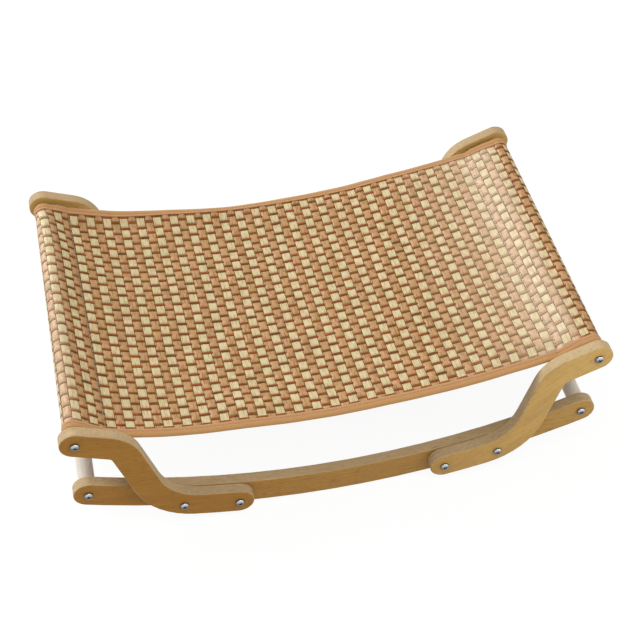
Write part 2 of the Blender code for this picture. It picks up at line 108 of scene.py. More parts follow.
# The weave: wide strips from front to back, thin ones along the bed
STRIP_PITCH = 17.92 * MM  # one cream and one tan strip
FIRST_CREAM = -4.5 * MM
CREAM_WIDTH = 8.85 * MM
TAN_WIDTH = 9.35 * MM
STRANDS = 5  # in each strip
STRAND_THICKNESS = 0.8 * MM
STRIP_WAVE = 0.38 * MM
STRIP_SKEW = -0.0215  # how far the strips run out of square
STRIP_WANDER = 0.2 * MM
STRIP_WANDER_RATE = 23  # radians a metre
STRIP_END = 157.5 * MM
END_MARGIN = 0.3 * MM  # no bend lies nearer to a strip's end
STRIPS_TRIED = 22  # each way from the first one
DIVES = 12  # of a strip, each side of the middle of the bed
STRAND_JITTER = 0.42 * MM
CREASE_SPREAD = 1.6  # the painted shade in most creases between strands is faint and in a few dark
EDGE_STRAND = 0.3  # share of a strip's width from its middle to its outermost strands
EDGE_REST = 0.2  # share of the wave that a held edge lies down by between wefts
WEFT_PITCH = 7.225 * MM
WEFT_WIDTH = 2.85 * MM
WEFT_THICKNESS = 0.75 * MM
WEFT_WAVE = 0.41 * MM
WEFT_SQUARENESS = 4  # how steeply a weft goes from over a strip to under the next
WEFT_WANDER = 0.16 * MM
WEFT_WANDER_RATE = 37
WEFT_WANDER_START = 1.9  # further along for each weft
WEFT_EDGE_SHADE = 0.5  # how far painted shade darkens a weft at its edges
WEFT_STEPS = 6  # along a weft for each strip that it meets
WEFTS = 43
EDGE_TUCK = 2.4 * MM  # the outermost ones are pushed in by the tape
PRESS_START = 1.2 * MM  # a weft holds a strip down this far from its own middle
PRESS_END = 3.4 * MM
MIDDLE_REACH = 205 * MM  # strips within it are made apart from those of the pockets

# Where a strip bends: past a weft that it dives under, past one that it lies on, and past each
# weft where its edges are held
DIVE_STEPS = np.array([0, 1.2, 2.3, 3.6, 5.4]) * MM
RISE_STEPS = np.array([0, 1.8, 3.6, 4.9, 6.0]) * MM
HELD_STEPS = np.array([0, 1.2, 2.3, 3.6, 5.1, 6.2]) * MM

# How many random tints are drawn
CELLS = 40  # for each strip
MIDDLE_CELL = 16  # the one in the middle of the bed
BARS = 128  # for each weft

# Where a painted glare pales the strips over the dowels, at lengths along the sheet
GLARE_S = np.array([-275, -262, -253, -245, 110, 160, 196, 214, 240, 250]) * MM
GLARE_AMOUNTS = np.array([0.24, 0.21, 0.08, 0, 0, 0.06, 0.15, 0.32, 0.26, 0])

# How far each bound edge of the sheet droops, at lengths along the sheet
DROOP_S = np.array([-200, -180, -100, -60, -40, 0, 40, 100, 140, 180, 220]) * MM
DROOPS = {
    "front": np.array([0.3, 0.3, 0.5, 0.6, 0.6, 0.6, 0.6, 0.7, 0.7, 0, 0]) * MM,
    "back": np.array([0, 0.2, 2.6, 3.6, 3.3, 2.4, 1.8, 1.2, 1.9, 1.9, 1.2]) * MM,
}
DROOP_WIDTH = 10 * MM
DROOP_CURVE = 1.2

# The bound edges, in places out from the middle of the bed
TAPE_RIM = 150.5 * MM
TAPE_RIM_WIDTH = 0.4 * MM
TAPE_GROOVE = 153.6 * MM  # where the stitches draw it in
TAPE_GROOVE_WIDTH = 0.45 * MM
TAPE_OUTER = 153.3 * MM  # its colour differs from here out
TAPE_OUTER_BLEND = 0.8 * MM
TAPE_RIPPLE = 0.08 * MM
TAPE_RIPPLE_RATE = 160
TAPE_RIPPLE_START = 154 * MM
TAPE_STEP = 2.1 * MM
TAPE_TUCK = 0.36  # share that its lower half is thinner by in the pockets
TUCK_START = 14 * MM  # before a seam
TUCK_BLEND = 8 * MM
TAPE_STITCH_PITCH = 3.6 * MM
TAPE_STITCH_LENGTH = 2.7 * MM
TAPE_STITCH_RADIUS = 0.28 * MM
TAPE_STITCH_INSET = 6.4 * MM  # from the fold
TAPE_STITCH_LIFT = 1.12 * MM
SEAM_STITCH_PITCH = 4.1 * MM
SEAM_REACH = 147.5 * MM
STITCH_MARGIN = 4 * MM

# Each board: the angle of its grain about Y in degrees, how pale it is at its left and right, partly its own
# tone and partly painted light, and how much painted shade darkens its sawn edges
BOARDS = {
    "front_rail": (0, 0.0, 0.55, 0),
    "back_rail": (0, 0.2, 0.5, 0),
    "front_left_arm": (3, 0.0, 0.05, 0),
    "front_right_arm": (-38, 0.6, 1.0, 0),
    "back_left_arm": (28, 0.7, 0.6, 0.2),
    "back_right_arm": (-4, 0.5, 0.9, 0.05),
}

# Rounded edges, screws and turned pieces
BOARD_ROUND = 0.28 * MM
EDGE_EASE = 0.8 * MM  # of boards and dowels, as in the frame
HEAD_HEIGHT = 3 * MM  # of a screw
BORE_GAP = 0.3 * MM  # round an insert
TIP_GAP = 2 * MM  # past a screw's tip
AXIS_RADIUS = 0.05 * MM  # of a ring that closes a turned piece
TURNED_SIDES = 48

# Camera
CAMERA_AZIMUTH = -11.79
CAMERA_ELEVATION = 45.11
CAMERA_ROLL = -0.63
CAMERA_DISTANCE = 1.6103
CAMERA_TARGET = Vector((0.0217, 0.0329, 0.0421))
CAMERA_LENS = 84.21

# Soft lamps: where each stands, what it points at, how wide it is and its power in watts
LAMPS = {
    "window": ((-1.75, 2.1, 1.6), (0, 0, 0.1), 2.8, 40),
    "pane": ((-1.1, 1.64, 1.64), (0.1, 0, 0.1), 0.9, 26),
    "left_wall": ((-1.7, 0.4, 0.5), (0, 0, 0.1), 1.0, 9),
    "overhead": ((0.2, -0.9, 1.75), (0, 0, 0.1), 1.1, 14),
    "right_front": ((1.4, -1.0, 0.9), (0.1, 0, 0.08), 1.0, 8),
}
SOFT_LEVEL = 0.57  # of the light that comes from all round
FLOOR_REACH = 4
FLOOR_WHITE = 0.9  # the rest takes the shadow
FLOOR_GLOW = 1.02

# Tints that are mixed into the colours of wood, strips, tape and steel: dark grain, painted shade and a
# painted glare
DARK_GRAIN_AND_SHADE = (0.56, 0.50, 0.42, 1)
BESIDE_WEFT_SHADE = (0.55, 0.27, 0.13, 1)
PAINTED_GLARE_TINT = (0.85, 0.72, 0.54, 1)
TAPE_GROOVE_SHADE = (0.27, 0.11, 0.04, 1)
STEEL_UNDER_SHADE = (0.07, 0.06, 0.055, 1)
STEEL_RECESS_SHADE = (0.02, 0.02, 0.024, 1)


# Shader building

def add_node(tree, kind, **sockets):
    """A node with some of its inputs set: a value, a colour or another node's output."""
    item = tree.nodes.new(kind)
    for name, value in sockets.items():
        connect(tree, item.inputs[name], value)
    return item


def connect(tree, socket, value):
    """Sets a socket to a value, or links another node's output to it."""
    if isinstance(value, bpy.types.NodeSocket):
        tree.links.new(value, socket)
    else:
        socket.default_value = value


def mixed(tree, factor, first, second, blend="MIX"):
    """Colour between two others."""
    item = tree.nodes.new("ShaderNodeMix")
    item.data_type = "RGBA"
    item.blend_type = blend
    for index, value in ((0, factor), (6, first), (7, second)):
        connect(tree, item.inputs[index], value)
    return item.outputs[2]


def maths(tree, operation, first, second, third=0.0):
    """A sum on two or three values."""
    item = tree.nodes.new("ShaderNodeMath")
    item.operation = operation
    for socket, value in zip(item.inputs, (first, second, third)):
        connect(tree, socket, value)
    return item.outputs[0]


def remapped(tree, value, low, high, new_low=0.0, new_high=1.0):
    """A value moved smoothly from one range to another."""
    item = tree.nodes.new("ShaderNodeMapRange")
    item.interpolation_type = "SMOOTHSTEP"
    for socket, number in zip(item.inputs, (value, low, high, new_low, new_high)):
        connect(tree, socket, number)
    return item.outputs[0]


def stretched_noise(tree, place, stretch, detail, roughness=0.5, distortion=0.0):
    """Noise whose cells are 1 / stretch metres along each axis."""
    scaled = tree.nodes.new("ShaderNodeVectorMath")
    scaled.operation = "MULTIPLY"
    connect(tree, scaled.inputs[0], place)
    connect(tree, scaled.inputs[1], stretch)
    values = {"Scale": 1.0, "Detail": detail, "Roughness": roughness, "Distortion": distortion}
    return add_node(tree, "ShaderNodeTexNoise", Vector=scaled.outputs[0], **values).outputs["Fac"]


def new_group(name, *labels):
    """An empty node group whose inputs are a place and some named values."""
    group = bpy.data.node_groups.new(name, "ShaderNodeTree")
    group.interface.new_socket("Place", in_out="INPUT", socket_type="NodeSocketVector")
    for label in labels:
        group.interface.new_socket(label, in_out="INPUT", socket_type="NodeSocketFloat")
    return group, group.nodes.new("NodeGroupInput").outputs


def put_out(group, **values):
    """Gives a node group its outputs."""
    for label in values:
        group.interface.new_socket(label, in_out="OUTPUT", socket_type="NodeSocketFloat")
    item = group.nodes.new("NodeGroupOutput")
    for label, value in values.items():
        group.links.new(value, item.inputs[label])
    return group


def long_grain_group():
    """Grain of a plank that runs along the first axis of its place."""
    group, given = new_group("long_grain", "Bands", "Streaks", "Flecks")
    place = given["Place"]
    broad = stretched_noise(group, place, (4.0, 42.0, 42.0), 2.0, distortion=0.3)
    fine = stretched_noise(group, place, (26.0, 520.0, 520.0), 4.0, roughness=0.65, distortion=0.3)
    pores = stretched_noise(group, place, (150.0, 1000.0, 1000.0), 1.0)
    streak = maths(group, "SUBTRACT", fine, 0.5)
    streak = maths(group, "MULTIPLY_ADD", streak, given["Streaks"], 0.5)
    band = maths(group, "SUBTRACT", broad, 0.5)
    streak = maths(group, "MULTIPLY_ADD", band, given["Bands"], streak)
    fleck = maths(group, "MULTIPLY", remapped(group, pores, 0.56, 0.68), given["Flecks"])
    relief = maths(group, "SUBTRACT", fine, fleck)
    return put_out(group, Tone=remapped(group, streak, 0.25, 0.75), Fleck=fleck, Relief=relief)


def fibre_group():
    """Fine fibres along the second axis of a strip's place, with a few dull patches."""
    group, given = new_group("fibres", "Contrast")
    place = given["Place"]
    lines = stretched_noise(group, place, (3600.0, 160.0, 3600.0), 2.0, roughness=0.55)
    patch = stretched_noise(group, place, (130.0, 90.0, 130.0), 2.0)
    contrast = maths(group, "MULTIPLY", maths(group, "SUBTRACT", lines, 0.5), given["Contrast"])
    tone = maths(group, "ADD", contrast, 0.5)
    return put_out(group, Tone=tone, Patch=remapped(group, patch, 0.35, 0.7), Relief=lines)


def placed(tree, group, **sockets):
    """A node group put into a material with its own values."""
    item = tree.nodes.new("ShaderNodeGroup")
    item.node_tree = group
    for name, value in sockets.items():
        connect(tree, item.inputs[name], value)
    return item.outputs


def new_material(name, roughness, metallic=0.0, specular=0.5):
    """A material, its node tree and its shader, with the values that are the same all over."""
    material = bpy.data.materials.new(name)
    material.use_nodes = True
    shader = material.node_tree.nodes["Principled BSDF"]
    shader.inputs["Roughness"].default_value = roughness
    shader.inputs["Metallic"].default_value = metallic
    shader.inputs["Specular IOR Level"].default_value = specular
    return material, material.node_tree, shader


def attribute(tree, name):
    """A value that the mesh holds for each point."""
    item = tree.nodes.new("ShaderNodeAttribute")
    item.attribute_name = name
    return item.outputs


def object_place(tree):
    """The place of a point in the object's own frame."""
    return tree.nodes.new("ShaderNodeTexCoord").outputs["Object"]


def bumped(tree, shader, height, strength, distance):
    """Fine relief on a shader."""
    bump = add_node(tree, "ShaderNodeBump", Strength=strength, Distance=distance, Height=height)
    tree.links.new(bump.outputs["Normal"], shader.inputs["Normal"])


LONG_GRAIN = long_grain_group()
FIBRES = fibre_group()


def wood_material(name, deep, pale, sawn, contrast, bands, streaks, flecks, roughness):
    """Satin varnished wood, between a deep and a pale kind, with greyer sawn edges and painted shade on some
    of them.
    """
    material, tree, shader = new_material(name, roughness, specular=0.14)
    values = {"Bands": bands, "Streaks": streaks, "Flecks": flecks}
    grain = placed(tree, LONG_GRAIN, Place=attribute(tree, "plank")["Vector"], **values)
    colour = mixed(tree, attribute(tree, "pale")["Fac"], deep, pale)
    colour = mixed(tree, attribute(tree, "sawn")["Fac"], colour, sawn)
    # painted shade on the sawn edges of some boards
    colour = mixed(tree, attribute(tree, "painted_edge_shade")["Fac"], colour, DARK_GRAIN_AND_SHADE, "MULTIPLY")
    dull = mixed(tree, 1.0, colour, DARK_GRAIN_AND_SHADE, "MULTIPLY")
    shade = remapped(tree, grain["Tone"], 0.0, 1.0, contrast, 0.0)
    colour = mixed(tree, shade, colour, dull)
    colour = mixed(tree, maths(tree, "MULTIPLY", grain["Fleck"], 0.5), colour, dull)
    tree.links.new(colour, shader.inputs["Base Color"])
    rough = maths(tree, "MULTIPLY_ADD", attribute(tree, "sawn")["Fac"], 0.12, roughness)
    tree.links.new(maths(tree, "MULTIPLY_ADD", grain["Fleck"], 0.08, rough), shader.inputs["Roughness"])
    bumped(tree, shader, grain["Relief"], 0.25, 0.0002)
    return material


def strip_material(name, base, warm, cool, crease, roughness, glaze):
    """Flat strips of strands with a tint for each cell, painted shade in creases and by wefts, and painted
    glare.
    """
    material, tree, shader = new_material(name, roughness, specular=glaze)
    fibre = placed(tree, FIBRES, Place=object_place(tree), Contrast=0.9)
    tint = attribute(tree, "tint")["Fac"]
    colour = mixed(tree, remapped(tree, tint, 0.55, 1.0), base, warm)
    colour = mixed(tree, remapped(tree, tint, 0.45, 0.0), colour, cool)
    colour = mixed(tree, remapped(tree, fibre["Tone"], 0.3, 0.75, 0.25, 0.0), colour, crease)
    # painted shade in the creases between strands, along strip edges and under the strips
    crease_shade = attribute(tree, "crease")["Fac"]
    colour = mixed(tree, maths(tree, "MULTIPLY", crease_shade, 0.85), colour, crease)
    colour = mixed(tree, maths(tree, "MULTIPLY", fibre["Patch"], 0.12), colour, crease)
    # painted shade on a strip beside each weft
    colour = mixed(tree, attribute(tree, "shade")["Fac"], colour, BESIDE_WEFT_SHADE, "MULTIPLY")
    # painted glare: paler strips over the dowels
    colour = mixed(tree, attribute(tree, "painted_glare")["Fac"], colour, PAINTED_GLARE_TINT)
    tree.links.new(colour, shader.inputs["Base Color"])
    rough = maths(tree, "MULTIPLY_ADD", fibre["Patch"], 0.12, roughness)
    tree.links.new(maths(tree, "MULTIPLY_ADD", crease_shade, 0.3, rough), shader.inputs["Roughness"])
    bumped(tree, shader, fibre["Relief"], 0.2, 0.00012)
    return material


def tape_material():
    """Cotton tape with fine ribs across it, with painted shade in the groove and under the edge."""
    material, tree, shader = new_material("binding_tape", 0.72, specular=0.25)
    fibre = placed(tree, FIBRES, Place=attribute(tree, "ribs")["Vector"], Contrast=1.2)
    inner = mixed(tree, fibre["Tone"], (0.345, 0.172, 0.068, 1), (0.46, 0.257, 0.113, 1))
    outer = mixed(tree, fibre["Tone"], (0.31, 0.15, 0.046, 1), (0.415, 0.225, 0.082, 1))
    colour = mixed(tree, attribute(tree, "outward")["Fac"], inner, outer)
    crease_shade = maths(tree, "MULTIPLY", attribute(tree, "crease")["Fac"], 0.6)
    colour = mixed(tree, crease_shade, colour, TAPE_GROOVE_SHADE)
    tree.links.new(colour, shader.inputs["Base Color"])
    shader.inputs["Sheen Weight"].default_value = 0.15
    shader.inputs["Sheen Roughness"].default_value = 0.5
    bumped(tree, shader, fibre["Relief"], 0.5, 0.0002)
    return material


def thread_material(name, dark, light):
    """Sewing thread, with its twist as a fine change of tone."""
    material, tree, shader = new_material(name, 0.6, specular=0.15)
    twist = stretched_noise(tree, object_place(tree), (1800.0, 1800.0, 1800.0), 1.0)
    tree.links.new(mixed(tree, remapped(tree, twist, 0.35, 0.65), dark, light), shader.inputs["Base Color"])
    bumped(tree, shader, twist, 0.4, 0.0001)
    return material


def metal_material(name, colour, worn, roughness):
    """Plated steel with a faint cloudiness, with painted shade where it faces down and in the recess."""
    material, tree, shader = new_material(name, roughness, metallic=1.0)
    cloud = stretched_noise(tree, object_place(tree), (700.0, 700.0, 700.0), 3.0)
    plate = mixed(tree, remapped(tree, cloud, 0.4, 0.75), colour, worn)
    facing = tree.nodes.new("ShaderNodeNewGeometry").outputs["Normal"]
    normal = add_node(tree, "ShaderNodeSeparateXYZ", Vector=facing)
    # painted shade: darker where the surface faces down
    under = remapped(tree, normal.outputs["Z"], 0.55, -0.05, 0.0, 0.85)
    plate = mixed(tree, under, plate, STEEL_UNDER_SHADE)
    # painted shade in the screw's recess and round its rim
    plate = mixed(tree, attribute(tree, "recess")["Fac"], plate, STEEL_RECESS_SHADE)
    tree.links.new(plate, shader.inputs["Base Color"])
    tree.links.new(remapped(tree, cloud, 0.3, 0.8, roughness, roughness + 0.14), shader.inputs["Roughness"])
    return material


BOARD_WOOD = wood_material(
    "board_wood",
    deep=(0.315, 0.145, 0.019, 1),
    pale=(0.54, 0.345, 0.112, 1),
    sawn=(0.445, 0.323, 0.178, 1),
    contrast=0.5, bands=0.35, streaks=0.55, flecks=1.0, roughness=0.42,
)
DOWEL_WOOD = wood_material(
    "dowel_wood",
    deep=(0.69, 0.635, 0.565, 1),
    pale=(0.69, 0.635, 0.565, 1),
    sawn=(0.70, 0.57, 0.40, 1),
    contrast=0.3, bands=0.4, streaks=0.6, flecks=0.5, roughness=0.5,
)
CREAM_STRIP = strip_material(
    "cream_strip",
    base=(0.545, 0.475, 0.27, 1),
    warm=(0.61, 0.48, 0.295, 1),
    cool=(0.475, 0.465, 0.24, 1),
    crease=(0.29, 0.165, 0.05, 1),
    roughness=0.45,
    glaze=0.4,
)
TAN_STRIP = strip_material(
    "tan_strip",
    base=(0.435, 0.255, 0.1, 1),
    warm=(0.515, 0.27, 0.125, 1),
    cool=(0.375, 0.244, 0.08, 1),
    crease=(0.16, 0.062, 0.018, 1),
    roughness=0.45,
    glaze=0.4,
)
BROWN_WEFT = strip_material(
    "brown_weft",
    base=(0.212, 0.068, 0.012, 1),
    warm=(0.29, 0.082, 0.018, 1),
    cool=(0.145, 0.052, 0.008, 1),
    crease=(0.09, 0.022, 0.003, 1),
    roughness=0.5,
    glaze=0.15,
)
BINDING_TAPE = tape_material()
LEFT_THREAD = thread_material("left_thread", (0.19, 0.125, 0.075, 1), (0.33, 0.24, 0.155, 1))
RIGHT_THREAD = thread_material("right_thread", (0.17, 0.11, 0.07, 1), (0.32, 0.23, 0.16, 1))
TAPE_THREAD = thread_material("tape_thread", (0.34, 0.16, 0.07, 1), (0.52, 0.28, 0.13, 1))
SCREW_STEEL = metal_material("screw_steel", (0.62, 0.64, 0.67, 1), (0.48, 0.50, 0.54, 1), 0.18)
INSERT_METAL = metal_material("insert_metal", (0.62, 0.60, 0.54, 1), (0.50, 0.47, 0.40, 1), 0.32)


# Mesh building

def new_object(name, data):
    """An object in the scene that holds a mesh, a lamp or a camera."""
    item = bpy.data.objects.new(name, data)
    bpy.context.scene.collection.objects.link(item)
    return item


def new_piece(name, points, faces, material):
    """A smooth mesh made from points and faces, as an object."""
    mesh = bpy.data.meshes.new(name)
    mesh.from_pydata(np.asarray(points, dtype=float).tolist(), [], faces)
    mesh.materials.append(material)
    mesh.shade_smooth()
    return new_object(name, mesh)


def set_attribute(mesh, name, values):
    """A value, or three, for each point of a mesh."""
    values = np.asarray(values, dtype=np.float32)
    wide = values.ndim == 2
    layer = mesh.attributes.new(name, "FLOAT_VECTOR" if wide else "FLOAT", "POINT")
    layer.data.foreach_set("vector" if wide else "value", values.ravel())


def tube_faces(rings, sides, start):
    """Faces of a closed tube made of rings of points, with a cap at each end."""
    ring, side = np.meshgrid(np.arange(rings - 1), np.arange(sides), indexing="ij")
    following = (side + 1) % sides
    base = start + ring * sides
    walls = np.stack([base + side, base + following, base + sides + following, base + sides + side], axis=-1)
    last = start + (rings - 1) * sides
    caps = [list(range(start + sides - 1, start - 1, -1)), list(range(last, last + sides))]
    return walls.reshape(-1, 4).tolist() + caps


def join_tubes(name, tubes, material, layers=None):
    """One piece made of many tubes, each an array of rings by sides by three."""
    faces = []
    start = 0
    for tube in tubes:
        faces += tube_faces(*tube.shape[:2], start)
        start += tube.shape[0] * tube.shape[1]
    piece = new_piece(name, np.concatenate([tube.reshape(-1, 3) for tube in tubes]), faces, material)
    for label, values in (layers or {}).items():
        joined = np.concatenate([np.asarray(value).reshape(-1, *np.shape(value)[2:]) for value in values])
        set_attribute(piece.data, label, joined)
    return piece


# The hanging sheet

def seam_place(side, y):
    """Where the left (-1) or right (1) seam lies in X."""
    return side * SEAM_X + SEAM_SHIFT + SEAM_SKEW * y


def sheet_height(x):
    """Height of the sheet's middle surface at its bound edges, between the seams."""
    share = x / SEAM_X
    belly = 1 - share**2
    seam_z = DOWEL_Z - (DOWEL_X - SEAM_X) * 2 * MAT_SAG / SEAM_X
    return seam_z + SEAM_LIFT - MAT_SAG * belly + MAT_LEAN * share * belly


def cross_fall(x, y):
    """How far the sheet hangs below the line between its bound edges, with small waves."""
    along = 1 - np.minimum(np.abs(x / SEAM_X), 1) ** 6
    across = 1 - np.minimum(np.abs(y / TAPE_LOW.y), 1) ** 2
    waves = sum(size * np.sin(in_x * x + in_y * y + start) for in_x, in_y, start, size in WAVES)
    return along * across * (CROSS_SAG + WAVINESS * waves)


def touch_point(start, centre, radius, turn):
    """Where a straight line from a point touches a circle, over it (turn 1) or under it (-1)."""
    away = centre - start
    distance = np.hypot(*away)
    angle = math.atan2(away[1], away[0]) + turn * math.asin(radius / distance)
    return start + math.sqrt(distance**2 - radius**2) * np.array([math.cos(angle), math.sin(angle)])


def pocket_path(seam_x, gap, height):
    """From the right-hand seam over the dowel, round it, and back below to the end of the hem."""
    centre = np.array([DOWEL_X, DOWEL_Z])
    radius = DOWEL_RADIUS + POCKET_SLACK
    upper = np.array([seam_x, height(seam_x)])
    lower = upper - (0, gap)
    over = touch_point(upper, centre, radius, 1)
    under = touch_point(lower, centre, radius, -1)
    begin = math.atan2(*(over - centre)[::-1])
    finish = math.atan2(*(under - centre)[::-1])
    turns = np.linspace(begin, finish, WRAP_POINTS)
    wrap = centre + radius * np.stack([np.cos(turns), np.sin(turns)], axis=1)
    hem_x = np.linspace(seam_x, seam_x - HEM_LENGTH, HEM_POINTS)[1:]
    hem = np.stack([hem_x, height(hem_x) - gap], axis=1)
    steps = np.linspace(0, 1, RUN_POINTS)[1:, None]
    going = upper + (over - upper) * steps
    returning = under + (lower - under) * steps
    return np.concatenate([going, wrap[1:-1], returning, hem])


def eased_height(x, y):
    """How much higher the slack sheet lies than the even curve, along X at one place in Y."""
    row = min(max(np.searchsorted(EASE_Y, y) - 1, 0), len(EASE_Y) - 2)
    share = np.clip((y - EASE_Y[row]) / (EASE_Y[row + 1] - EASE_Y[row]), 0, 1)
    share = share * share * (3 - 2 * share)
    heights = EASE_HEIGHTS[row] * (1 - share) + EASE_HEIGHTS[row + 1] * share
    fine = np.arange(-260, 261) * MM
    window = np.hanning(2 * EASE_SMOOTHING + 1)
    smooth = np.convolve(np.interp(fine, EASE_X, heights, 0, 0), window / window.sum(), "same")
    held = np.clip((EASE_X[-1] - np.abs(fine)) / EASE_FADE, 0, 1)
    return np.interp(x, fine, smooth * held)


def sheet_path(y):
    """The sheet's middle surface at one place in Y, as points in X and Z, and the length to each
    from the middle of the bed. Runs from the left hem to the right one."""
    bound = np.clip((abs(y) - BOUND_START) / BOUND_BLEND, 0, 1)
    gap = LAYER_GAP + (EDGE_LAYER_GAP - LAYER_GAP) * bound * bound * (3 - 2 * bound)
    left, right = seam_place(-1, y), seam_place(1, y)
    middle_x = np.linspace(left, right, MIDDLE_POINTS)
    middle = np.stack([middle_x, sheet_height(middle_x)], axis=1)
    mirror = np.array([-1, 1])
    left_part = (pocket_path(-left, gap, lambda x: sheet_height(-x)) * mirror)[::-1]
    path = np.concatenate([left_part, middle, pocket_path(right, gap, sheet_height)])
    path[:, 1] += eased_height(path[:, 0], y)
    steps = np.hypot(*np.diff(path, axis=0).T)
    lengths = np.concatenate([[0], np.cumsum(steps)])
    first = len(left_part)
    middle_length = np.interp(0, middle_x, lengths[first : first + len(middle)])
    seams = lengths[[first, first + len(middle) - 1]] - middle_length
    return path, lengths - middle_length, seams


Y_GRID = np.linspace(-TABLE_REACH, TABLE_REACH, TABLE_ROWS)
PATHS = [sheet_path(y) for y in Y_GRID]
SHEET_START = max(lengths[0] for _, lengths, _ in PATHS)
SHEET_END = min(lengths[-1] for _, lengths, _ in PATHS)
S_GRID = np.linspace(SHEET_START, SHEET_END, TABLE_COLUMNS)
SEAM_LENGTHS = np.array([seams for _, _, seams in PATHS])


def sheet_table():
    """Points and normals of the middle surface on a grid of places across and along the sheet."""
    points = np.zeros((len(Y_GRID), len(S_GRID), 3))
    for row, (y, (path, lengths, _)) in enumerate(zip(Y_GRID, PATHS)):
        points[row, :, 0] = np.interp(S_GRID, lengths, path[:, 0])
        points[row, :, 1] = y
        points[row, :, 2] = np.interp(S_GRID, lengths, path[:, 1])
    points[:, :, 2] -= cross_fall(points[:, :, 0], points[:, :, 1])
    along = np.gradient(points, axis=1)
    smooth = np.ones(SLOPE_WINDOW) / SLOPE_WINDOW

    def averaged(line):
        return np.convolve(np.pad(line, SLOPE_WINDOW // 2, "edge"), smooth, "valid")

    along = np.apply_along_axis(averaged, 1, along)
    normals = np.cross(along, np.gradient(points, axis=0))
    normals /= np.linalg.norm(normals, axis=2, keepdims=True)
    dip = np.zeros(points.shape[:2])
    for column in range(2):
        beside = S_GRID[None, :] - SEAM_LENGTHS[:, column, None]
        dip += SEAM_DIP * np.exp(-((beside / SEAM_DIP_WIDTH) ** 2))
    return points - normals * dip[:, :, None], normals


SHEET_POINTS, SHEET_NORMALS = sheet_table()


def edge_droop(s, y):
    """How far the sheet hangs below its own line at its bound edges."""
    front, back = (np.interp(s, DROOP_S, DROOPS[end], 0, 0) for end in ENDS)
    beyond = (np.abs(y) - TAPE_HIGH.y) / DROOP_WIDTH + 1
    return np.where(y < 0, front, back) * np.clip(beyond, 0, 1) ** DROOP_CURVE


def laid(s, y, lift):
    """Points at a length along the sheet, a place across it and a height over its middle."""
    s, y, lift = np.broadcast_arrays(s, y, lift)
    lift = lift - edge_droop(s, y)
    column = np.clip((s - S_GRID[0]) / (S_GRID[1] - S_GRID[0]), 0, len(S_GRID) - 1.001)
    row = np.clip((y - Y_GRID[0]) / (Y_GRID[1] - Y_GRID[0]), 0, len(Y_GRID) - 1.001)
    i, j = row.astype(int), column.astype(int)
    u, v = (row - i)[..., None], (column - j)[..., None]

    def blend(table):
        near = table[i, j] * (1 - v) + table[i, j + 1] * v
        far = table[i + 1, j] * (1 - v) + table[i + 1, j + 1] * v
        return near * (1 - u) + far * u

    return blend(SHEET_POINTS) + blend(SHEET_NORMALS) * lift[..., None]


# The weave

def strand_ring():
    """Section of a strip of strands: shares of its width and thickness from the middle, how much
    painted shade each point takes in creases, at edges and underneath, and the strand that the point is on."""
    shares = np.linspace(-0.5, 0.5, 2 * STRANDS + 1)
    crease = (np.arange(len(shares)) % 2 == 0).astype(float)
    heights = 0.5 - 0.3 * crease - 0.2 * (np.abs(shares) > 0.49)
    under_shares = np.linspace(0.4, -0.4, STRANDS)
    under_heights = np.array([-0.5, -0.3, -0.5, -0.3, -0.5])
    across = np.concatenate([shares, under_shares])
    ring = np.stack([across, np.concatenate([heights, under_heights])], axis=1)
    strand = np.clip(((ring[:, 0] + 0.5) * STRANDS).astype(int), 0, STRANDS - 1)
    # painted shade: dark in the creases between strands, a little along the edges, and under the strip
    underside_shade = 0.4 + 0.4 * (under_heights > -0.4)
    shade_marks = np.concatenate([crease + 0.18 * (np.abs(shares) > 0.49), underside_shade])
    return ring[::-1], shade_marks[::-1], strand[::-1]


def pressed(distance):
    """1 under a weft, 0 where a strip stands free of it."""
    share = np.clip((PRESS_END - distance) / (PRESS_END - PRESS_START), 0, 1)
    return share * share * (3 - 2 * share)


def apart(place, start, period):
    """Distance to the nearest of evenly spaced places."""
    return np.abs((place - start + period / 2) % period - period / 2)


